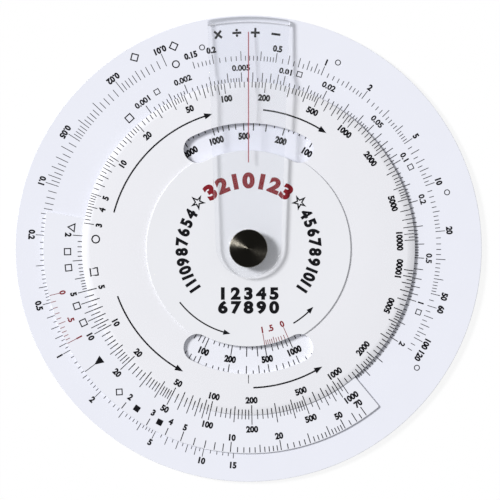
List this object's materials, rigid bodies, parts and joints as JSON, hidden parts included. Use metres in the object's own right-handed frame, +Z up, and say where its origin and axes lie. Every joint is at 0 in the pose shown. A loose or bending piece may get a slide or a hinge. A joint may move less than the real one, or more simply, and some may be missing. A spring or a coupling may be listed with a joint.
{
  "type": "circular slide rule",
  "caption": "Circular slide rule: printed base disc, a tabbed middle disc, a windowed upper disc and a clear cursor with a red hairline, all turning on one pivot under a round metal cap.",
  "frame": {"origin": "on the pivot axis, at the back face that the rule rests on", "axes": "+Z up along the pivot axis, towards the printed side; +Y from the pivot along the cursor to its tip; +X to the right of the cursor, seen from the printed side"},
  "size_m": [0.12, 0.12, 0.0072],
  "materials": {
    "backing_plastic": "satin",
    "base_sheet": "satin",
    "middle_sheet": "satin",
    "upper_sheet": "satin",
    "hub_sheet": "satin",
    "slip_film": "satin",
    "spacer_plastic": "matte",
    "clear_plastic": "polished",
    "spring_steel": "satin",
    "dark_turned_metal": "satin",
    "sleeve_brass": "satin",
    "plated_steel": "satin",
    "black_ink": "satin",
    "red_ink": "satin"
  },
  "bodies": {
    "base": {"base_backing": "backing_plastic", "base_scale_sheet": "base_sheet", "lower_slip_washer": "slip_film"},
    "pivot": {"pivot_cap": "dark_turned_metal", "pivot_sleeve": "sleeve_brass", "back_screw": "plated_steel", "back_washer": "slip_film", "wave_washer": "spring_steel"},
    "middle_disc": {"middle_disc": "middle_sheet", "middle_slip_washer": "slip_film"},
    "upper_disc": {"upper_disc": "upper_sheet", "hub_sheet": "hub_sheet", "cursor_spacer": "spacer_plastic"},
    "cursor": {"cursor_plate": "clear_plastic", "cap_slip_washer": "slip_film"}
  },
  "joints": [
    {"name": "pivot_turn", "type": "hinge", "parent": "base", "child": "pivot", "pos_m": [0, 0, 0], "axis": [0, 0, 1], "continuous": true},
    {"name": "middle_disc_turn", "type": "hinge", "parent": "base", "child": "middle_disc", "pos_m": [0, 0, 0], "axis": [0, 0, 1], "continuous": true},
    {"name": "upper_disc_turn", "type": "hinge", "parent": "base", "child": "upper_disc", "pos_m": [0, 0, 0], "axis": [0, 0, 1], "continuous": true},
    {"name": "cursor_turn", "type": "hinge", "parent": "base", "child": "cursor", "pos_m": [0, 0, 0], "axis": [0, 0, 1], "continuous": true}
  ]
}
